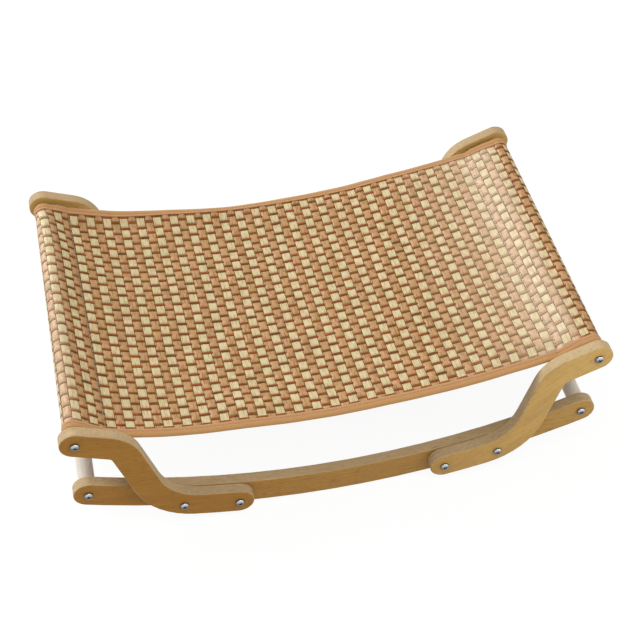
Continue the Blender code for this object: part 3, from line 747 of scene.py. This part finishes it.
def make_strips(name, chosen, first, width, groove, edge_held, seed, shading, warmth, glare_share, material):
    """Strips from front to back that dive under every other weft. Where edge_held is set, the
    strand at each edge lies under all of them."""
    period = 2 * WEFT_PITCH
    dive, rise = (HELD_STEPS, HELD_STEPS) if edge_held else (DIVE_STEPS, RISE_STEPS)
    bends = np.concatenate([dive, WEFT_PITCH + rise])
    stations = (np.arange(-DIVES, DIVES)[:, None] * period + bends[None, :]).ravel() + groove
    stations = stations[np.abs(stations) < STRIP_END - END_MARGIN]
    stations = np.concatenate([[-STRIP_END], stations, [STRIP_END]])
    cell = np.floor((stations - groove) / period + 0.5).astype(int) + MIDDLE_CELL
    ring, shade_marks, strand = strand_ring()
    outer = np.abs(ring[:, 0]) > EDGE_STRAND + 0.01
    step = np.abs(np.abs(ring[:, 0]) - EDGE_STRAND) < 0.02
    random = np.random.default_rng(seed)
    tubes, tints, crease_shades, shades, glares = [], [], [], [], []
    for index in range(-STRIPS_TRIED, STRIPS_TRIED + 1):
        centre = first + index * STRIP_PITCH
        cell_tints = random.random(CELLS)
        strand_tints = random.random((CELLS, STRANDS))
        jitter = STRAND_JITTER * (2 * random.random((CELLS, STRANDS)) - 1)
        inside = centre - width / 2 > SHEET_START and centre + width / 2 < SHEET_END
        if not inside or (abs(centre) < MIDDLE_REACH) != (chosen == "middle"):
            continue
        wander = STRIP_SKEW * stations + STRIP_WANDER * np.sin(stations * STRIP_WANDER_RATE)
        place = stations[:, None] + jitter[cell][:, strand]
        lift = STRIP_WAVE * (1 - 2 * pressed(apart(place, groove, period)))
        if edge_held:
            held = pressed(apart(stations, groove, WEFT_PITCH))
            low = -STRIP_WAVE * (EDGE_REST + (1 - EDGE_REST) * held)[:, None]
            lift = np.where(outer, low, np.where(step, (lift + low) / 2, lift))
        s = (centre + wander)[:, None] + width * ring[None, :, 0]
        tubes.append(laid(s, stations[:, None], lift + STRAND_THICKNESS * ring[None, :, 1]))
        tint = 0.5 * cell_tints[cell][:, None] + 0.5 * strand_tints[cell][:, strand]
        tints.append(tint + warmth * outer)
        depths = np.where(shade_marks == 1, random.random((CELLS, len(ring))) ** CREASE_SPREAD, 1)
        crease_shades.append(shade_marks * depths[cell])
        # painted shade beside each weft
        shades.append(shading * pressed(apart(place, groove, period)))
        # painted glare over the dowels
        glares.append(glare_share * np.interp(s, GLARE_S, GLARE_AMOUNTS, 0, 0))
    layers = {"tint": tints, "crease": crease_shades, "shade": shades, "painted_glare": glares}
    return join_tubes(name, tubes, material, layers), len(tubes)


def make_wefts(name, over, seed, material):
    """Every other thin strip along the bed: those that pass over the cream strips and the edges
    of the tan ones, or those that pass over the tan strips alone."""
    half = STRIP_PITCH / 2
    stations = np.arange(SHEET_START + 1 * MM, SHEET_END - 1 * MM, half / WEFT_STEPS)
    upper = [(-0.42, 0.34), (-0.18, 0.5), (0.18, 0.5), (0.42, 0.34)]
    lower = [(-share, -height) for share, height in upper]
    ring = np.array([(-0.5, 0)] + upper + [(0.5, 0)] + lower)[::-1]
    side, shift, odd = (1, 0.2, 1) if over == "cream" else (-1, 0.0, 0)
    random = np.random.default_rng(seed)
    tubes, tints, crease_shades, glares = [], [], [], []
    for index in [k for k in range(-(WEFTS // 2), WEFTS // 2 + 1) if k % 2 == odd]:
        angles = stations * WEFT_WANDER_RATE + index * WEFT_WANDER_START
        y = index * WEFT_PITCH + WEFT_WANDER * np.sin(angles)
        if abs(index) == WEFTS // 2:
            y -= math.copysign(EDGE_TUCK, index)
        level = np.cos(2 * math.pi * (stations - STRIP_SKEW * y - FIRST_CREAM) / STRIP_PITCH)
        lift = WEFT_WAVE * side * np.tanh(WEFT_SQUARENESS * (level + shift))
        across = y[:, None] + WEFT_WIDTH * ring[None, :, 0]
        s = stations[:, None] + np.zeros(len(ring))
        tubes.append(laid(s, across, lift[:, None] + WEFT_THICKNESS * ring[None, :, 1]))
        bars = np.floor((stations - FIRST_CREAM) / half + 0.5).astype(int)
        tint = random.random(BARS)[bars + BARS // 2]
        tints.append(np.repeat(tint[:, None], len(ring), axis=1))
        # painted shade along the weft's edges
        edges = WEFT_EDGE_SHADE * (np.abs(ring[:, 0]) > 0.4)
        crease_shades.append(np.repeat(edges[None, :], len(stations), axis=0))
        glares.append(np.interp(s, GLARE_S, GLARE_AMOUNTS, 0, 0))
    return join_tubes(name, tubes, material, {"tint": tints, "crease": crease_shades, "painted_glare": glares})


# The bound edges and the stitches

def tape_ring():
    """Section of the folded tape: places out from the middle of the bed, and heights. Its upper
    half is in millimetres, from the inner edge to the fold."""
    half = [
        (150.6, 0.72), (150.45, 1.0), (150.9, 1.22), (152.2, 1.38), (153.1, 1.25), (153.6, 0.92),
        (154.1, 1.25), (155.0, 1.52), (156.8, 1.68), (158.4, 1.58), (159.5, 1.08), (160.0, 0.35),
    ]
    inner = [(158.3, 0.3), (157.8, 0.7)]
    outer = half + [(place, -height) for place, height in half[::-1]]
    under = [(place, -height) for place, height in inner[::-1]]
    return np.array(outer + under + inner) * MM


def make_tape(name, facing):
    """Tape folded over one long edge of the mat, all the way round both dowels."""
    ring = tape_ring()
    depth = TAPE_HIGH.y - ring[:, 0].max()
    stations = np.arange(SHEET_START + 0.5 * MM, SHEET_END, TAPE_STEP)
    seams = np.abs(SEAM_LENGTHS).mean()
    tucked = np.clip((np.abs(stations) - seams + TUCK_START) / TUCK_BLEND, 0, 1)
    height = np.repeat(ring[None, :, 1], len(stations), axis=0)
    height = np.where(height < 0, height * (1 - TAPE_TUCK * tucked[:, None]), height)
    y = np.repeat((facing * (ring[:, 0] + depth))[None, :], len(stations), axis=0)
    ripple = TAPE_RIPPLE * np.sin(stations * TAPE_RIPPLE_RATE)[:, None]
    ripple = ripple * (ring[None, :, 0] > TAPE_RIPPLE_START)
    fold = np.abs(y) - depth
    points = laid(stations[:, None], y, height + ripple)
    if facing > 0:
        points, height, fold = (layer[:, ::-1] for layer in (points, height, fold))
    # painted shade in the groove and under the inner edge
    crease = np.exp(-(((fold - TAPE_GROOVE) / TAPE_GROOVE_WIDTH) ** 2))
    crease += np.exp(-(((fold - TAPE_RIM) / TAPE_RIM_WIDTH) ** 2))
    along = np.repeat(stations[:, None], len(ring), axis=1)
    ribs = np.stack([along, fold + np.abs(height), height], axis=2)
    outward = np.clip((fold - TAPE_OUTER) / TAPE_OUTER_BLEND, 0, 1)
    layers = {"crease": [np.clip(crease, 0, 1)], "outward": [outward], "ribs": [ribs]}
    return join_tubes(name, [points], BINDING_TAPE, layers)


def make_stitches(name, centres, along_sheet, length, radius, material):
    """A row of stitches at places and heights, each a short tube whose ends dive in."""
    turns = np.linspace(0, 2 * math.pi, 7)[:-1]
    reach = np.array([-0.5, -0.42, -0.2, 0.2, 0.42, 0.5])
    thick = np.array([0.35, 0.85, 1, 1, 0.85, 0.35])
    dive = np.array([-1.6, -0.5, 0, 0, -0.5, -1.6]) * radius
    tubes = []
    for s, y, lift in centres:
        sideways = radius * thick[:, None] * np.cos(turns)[None, :]
        height = lift + dive[:, None] + radius * thick[:, None] * np.sin(turns)[None, :]
        forward = (length * reach)[:, None] + np.zeros(len(turns))
        if along_sheet:
            tubes.append(laid(s + forward, y + sideways, height))
        else:
            tubes.append(laid(s + sideways, y - forward, height))
    return join_tubes(name, tubes, material)


# Boards, dowels and screws

def places_of(mesh):
    """The places of a mesh's points."""
    places = np.zeros(len(mesh.vertices) * 3, dtype=np.float32)
    mesh.vertices.foreach_get("co", places)
    return places.reshape(-1, 3)


def set_wood(mesh, places, seed, sawn, pale, painted_edge_shade):
    """Where each point lies in the plank that the piece was cut from, its grain along the first
    axis, and whether the point is on a sawn edge, how pale the wood is, partly as painted light, and how
    much painted shade darkens that edge."""
    set_attribute(mesh, "plank", places + np.array([0.7, 0.13, 0.29]) * seed)
    set_attribute(mesh, "sawn", sawn)
    set_attribute(mesh, "pale", pale + np.zeros(len(places)))
    set_attribute(mesh, "painted_edge_shade", painted_edge_shade * sawn)


def make_board(node, seed):
    """A board with softly rounded edges, from the frame's own outline."""
    angle, left_pale, right_pale, painted_edge_shade = BOARDS[node]
    bm = bmesh.new()
    bm.from_mesh(NODES[node].data)
    bmesh.ops.remove_doubles(bm, verts=bm.verts, dist=1e-5)
    bmesh.ops.dissolve_limit(bm, angle_limit=math.radians(1), verts=bm.verts, edges=bm.edges)
    rims = [edge for edge in bm.edges if edge.calc_face_angle(0) > math.radians(30)]
    bmesh.ops.bevel(bm, geom=rims, offset=BOARD_ROUND, segments=2, profile=0.5, affect="EDGES")
    mesh = bpy.data.meshes.new(node + ".board")
    bm.to_mesh(mesh)
    bm.free()
    mesh.materials.append(BOARD_WOOD)
    mesh.shade_smooth()
    low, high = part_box(node)
    places = places_of(mesh)
    depth = np.minimum(places[:, 1] - low.y, high.y - places[:, 1])
    turned = places @ np.array(Matrix.Rotation(math.radians(angle), 3, "Y"))
    # paler towards one end: partly the board's own tone, partly painted light
    pale = np.interp(places[:, 0], [low.x, high.x], [left_pale, right_pale])
    set_wood(mesh, turned, seed, np.clip(depth / EDGE_EASE, 0, 1), pale, painted_edge_shade)
    piece = new_object(node + ".board", mesh)
    even = piece.modifiers.new("even_shading", "WEIGHTED_NORMAL")
    even.weight = 100
    return piece


def turned_piece(name, profile, material):
    """Turns (radius, y) points round the Y axis into a closed piece."""
    turns = np.linspace(0, 2 * math.pi, TURNED_SIDES + 1)[:-1]
    rings = []
    for radius, y in profile:
        rings.append([(radius * math.cos(turn), y, radius * math.sin(turn)) for turn in turns])
    return join_tubes(name, [np.array(rings)], material)


def make_dowel(place, seed):
    """A turned dowel, bored at both ends for its inserts and the screws' tips."""
    low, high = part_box(place + "_dowel")
    insert_low, insert_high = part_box("insert_back_" + place)
    centre = (low + high) / 2
    reach = high.y
    radius = (high.z - low.z) / 2
    bore = (insert_high.z - insert_low.z) / 2 + BORE_GAP
    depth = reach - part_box("screw_back_" + place)[0].y + TIP_GAP
    floor = reach - depth
    half = [(AXIS_RADIUS, floor), (bore * 0.7, floor), (bore, floor + EDGE_EASE), (bore, reach)]
    half += [(radius - EDGE_EASE, reach), (radius - EDGE_EASE / 3, reach - EDGE_EASE / 3)]
    half += [(radius, reach - EDGE_EASE)]
    profile = [(r, -y) for r, y in half] + half[::-1]
    piece = turned_piece(place + "_dowel.turned", profile, DOWEL_WOOD)
    piece.location = (centre.x, 0, centre.z)
    piece.data.set_sharp_from_angle(angle=math.radians(40))
    places = places_of(piece.data)
    ends = (np.abs(places[:, 1]) > reach - 0.5 * EDGE_EASE).astype(float)
    set_wood(piece.data, places[:, [1, 0, 2]], seed, ends, 0.5, 0)
    return piece


def screw_head_mesh(length):
    """A pan head screw with a cross recess. The head faces -Y and its seat is at y = 0."""
    head = 4.35 * MM
    crown = 2.1 * MM
    shank = 2.5 * MM
    tip = 0.7 * MM
    slot = 1.15 * MM
    cross = 5.2 * MM
    cross_depth = 1.9 * MM
    floor_share = 0.62  # of the cross at its floor
    past = 1.0 * MM
    rise = crown - HEAD_HEIGHT
    turns = np.linspace(0.02, math.pi / 2, 11)
    profile = [(head * math.sin(turn), rise - crown * math.cos(turn)) for turn in turns]
    profile += [(head, -0.25 * MM), (head - 0.2 * MM, 0), (shank, 0), (shank, length - tip)]
    profile += [(shank - tip, length), (AXIS_RADIUS, length)]
    body = turned_piece("screw_body", profile, SCREW_STEEL)
    bm = bmesh.new()
    for width, depth in ((slot, cross), (cross, slot)):
        made = bmesh.ops.create_cube(bm, size=1)
        for vertex in made["verts"]:
            inner = vertex.co.y > 0
            shrink = floor_share if inner else 1.0
            vertex.co.x *= width * shrink
            vertex.co.z *= depth * shrink
            vertex.co.y = -HEAD_HEIGHT + (cross_depth if inner else -past)
    cutter = new_object("screw_recess", bpy.data.meshes.new("screw_recess"))
    bm.to_mesh(cutter.data)
    bm.free()
    cut = body.modifiers.new("recess", "BOOLEAN")
    cut.object = cutter
    cut.use_self = True
    mesh = bpy.data.meshes.new_from_object(body.evaluated_get(bpy.context.evaluated_depsgraph_get()))
    for scrap in (body, cutter):
        bpy.data.objects.remove(scrap)
    mesh.materials.clear()
    mesh.materials.append(SCREW_STEEL)
    mesh.shade_smooth()
    mesh.set_sharp_from_angle(angle=math.radians(35))
    places = places_of(mesh)
    out = np.minimum(np.hypot(places[:, 0], places[:, 2]) / head, 1)
    below = places[:, 1] - (rise - crown * np.sqrt(1 - out**2))
    sunken = ((below > 0.2 * MM) & (out < 0.6) & (places[:, 1] < 0)).astype(float)
    # painted shade: dark in the sunken cross and in a ring round the head's rim
    set_attribute(mesh, "recess", np.maximum(sunken, np.clip((out - 0.84) / 0.16, 0, 1) * 0.75))
    return mesh


def place_screws():
    """A bright screw for each one in the frame, each stopped at its own angle."""
    meshes = {}
    random = np.random.default_rng(11)
    for node in sorted(name for name in NODES if name.startswith("screw_")):
        low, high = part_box(node)
        length = round(high.y - low.y - HEAD_HEIGHT, 4)
        if length not in meshes:
            meshes[length] = screw_head_mesh(length)
        back = "_back_" in node
        piece = new_object(node + ".bright", meshes[length])
        seat = high.y - HEAD_HEIGHT if back else low.y + HEAD_HEIGHT
        piece.location = ((low.x + high.x) / 2, seat, (low.z + high.z) / 2)
        turn = Matrix.Rotation(random.random() * math.pi, 4, "Y")
        piece.rotation_euler = (Matrix.Rotation(math.pi if back else 0, 4, "Z") @ turn).to_euler()
        keep(piece, node)


# The whole bed

def keep(piece, node):
    """Puts a piece on the bed's one body, in place of a node where one is given."""
    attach(piece, "root")
    if node:
        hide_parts(node)
    return piece


def make_frame():
    """Boards, dowels, screws and inserts."""
    for seed, node in enumerate(BOARDS):
        keep(make_board(node, seed), node)
    for seed, place in enumerate(DOWELS):
        keep(make_dowel(place, 10 + seed), place + "_dowel")
    place_screws()
    for name, node in NODES.items():
        if name.startswith("insert_"):
            node.data.materials.clear()
            node.data.materials.append(INSERT_METAL)


def make_mat():
    """The woven sheet, its bound edges and the seams of its pockets."""
    kinds = {
        "cream": dict(
            first=FIRST_CREAM, width=CREAM_WIDTH, groove=WEFT_PITCH, edge_held=False, seed=3,
            shading=0.7, warmth=0.2, glare_share=0.6, material=CREAM_STRIP,
        ),
        "tan": dict(
            first=FIRST_CREAM + STRIP_PITCH / 2, width=TAN_WIDTH, groove=0.0, edge_held=True, seed=4,
            shading=0.05, warmth=0.0, glare_share=1.0, material=TAN_STRIP,
        ),
    }
    going = []
    for chosen in ("middle", "pocket"):
        for colour, values in kinds.items():
            made, count = make_strips(f"{colour}_{chosen}_strips", chosen, **values)
            if made.name == "cream_middle_strips":
                cream, cream_count = keep(made, "woven_mat"), count
            else:
                going.append(keep(made, None))
    for seed, over in enumerate(("cream", "tan")):
        wefts = make_wefts(f"wefts_over_{over}", over, 5 + seed, BROWN_WEFT)
        going.append(keep(wefts, None))
    for end, facing in ENDS.items():
        tape = make_tape(end + "_tape", facing)
        keep(tape, end + "_binding")
        stitch_y = facing * (TAPE_HIGH.y - TAPE_STITCH_INSET)
        places = np.arange(SHEET_START + STITCH_MARGIN, SHEET_END - STITCH_MARGIN, TAPE_STITCH_PITCH)
        row = [(s, stitch_y, TAPE_STITCH_LIFT) for s in places]
        sizes = (TAPE_STITCH_LENGTH, TAPE_STITCH_RADIUS)
        stitches = make_stitches(end + "_tape_stitches", row, True, *sizes, TAPE_THREAD)
        keep(stitches, None)
        going += [tape, stitches]
    seams = {
        "left": (3.9 * MM, 0.5 * MM, 0.85 * MM, LEFT_THREAD),
        "right": (2.3 * MM, 0.42 * MM, 0.6 * MM, RIGHT_THREAD),
    }
    for column, (hand, (length, radius, lift, thread)) in enumerate(seams.items()):
        places = np.arange(-SEAM_REACH, SEAM_REACH + 0.5 * MM, SEAM_STITCH_PITCH)
        row = [(np.interp(y, Y_GRID, SEAM_LENGTHS[:, column]), y, lift) for y in places]
        stitches = make_stitches(hand + "_seam_stitches", row, False, length, radius, thread)
        keep(stitches, hand + "_seam_thread")
        going.append(stitches)


# Floor, light and camera

def white_rays(tree):
    """1 where the camera looks, or a mirror or a clear piece shows, and 0 for soft light."""
    path = tree.nodes.new("ShaderNodeLightPath").outputs
    seen = maths(tree, "MAXIMUM", path["Is Camera Ray"], path["Is Glossy Ray"])
    return maths(tree, "MAXIMUM", seen, path["Is Transmission Ray"])


def make_floor():
    """Pale floor that keeps the shadow and otherwise shows as white."""
    material, tree, shader = new_material("floor", 0.9, specular=0.0)
    shader.inputs["Base Color"].default_value = (0.82, 0.82, 0.81, 1)
    glow = add_node(tree, "ShaderNodeEmission", Color=(1, 1, 1, 1), Strength=FLOOR_GLOW)
    mix = tree.nodes.new("ShaderNodeMixShader")
    tree.links.new(maths(tree, "MULTIPLY", white_rays(tree), FLOOR_WHITE), mix.inputs[0])
    tree.links.new(shader.outputs[0], mix.inputs[1])
    tree.links.new(glow.outputs[0], mix.inputs[2])
    tree.links.new(mix.outputs[0], tree.nodes["Material Output"].inputs["Surface"])
    corners = [(x * FLOOR_REACH, y * FLOOR_REACH, 0) for x, y in ((-1, -1), (1, -1), (1, 1), (-1, 1))]
    floor = new_piece("floor", corners, [(0, 1, 2, 3)], material)


def make_world():
    """White where it is seen, and soft light of a plain level elsewhere."""
    world = bpy.data.worlds.new("studio")
    world.use_nodes = True
    tree = world.node_tree
    strength = remapped(tree, white_rays(tree), 0.0, 1.0, SOFT_LEVEL, 1.0)
    background = tree.nodes["Background"]
    background.inputs["Color"].default_value = (1, 1, 1, 1)
    tree.links.new(strength, background.inputs["Strength"])
    bpy.context.scene.world = world


def make_lamp(name, place, aim, size, power):
    """A large soft lamp that points at a place on the bed."""
    lamp = bpy.data.lights.new(name, "AREA")
    lamp.shape = "DISK"
    lamp.size = size
    lamp.energy = power
    item = new_object(name, lamp)
    item.location = place
    item.rotation_euler = (Vector(place) - Vector(aim)).to_track_quat("Z", "Y").to_euler()


def make_camera():
    """The camera where the photographer stood."""
    camera = new_object("camera", bpy.data.cameras.new("camera"))
    camera.data.lens = CAMERA_LENS
    camera.data.clip_end = 20
    azimuth, elevation = math.radians(CAMERA_AZIMUTH), math.radians(CAMERA_ELEVATION)
    level = math.cos(elevation)
    back = Vector((math.sin(azimuth) * level, -math.cos(azimuth) * level, math.sin(elevation)))
    across = Vector((math.cos(azimuth), math.sin(azimuth), 0))
    upright = Matrix((across, back.cross(across), back)).transposed().to_4x4()
    roll = Matrix.Rotation(math.radians(CAMERA_ROLL), 4, "Z")
    camera.matrix_world = Matrix.Translation(CAMERA_TARGET + back * CAMERA_DISTANCE) @ upright @ roll
    bpy.context.scene.camera = camera


make_camera()
make_floor()
make_world()
for lamp_name, values in LAMPS.items():
    make_lamp(lamp_name, *values)
make_frame()
make_mat()

bpy.context.scene.view_settings.view_transform = "Standard"
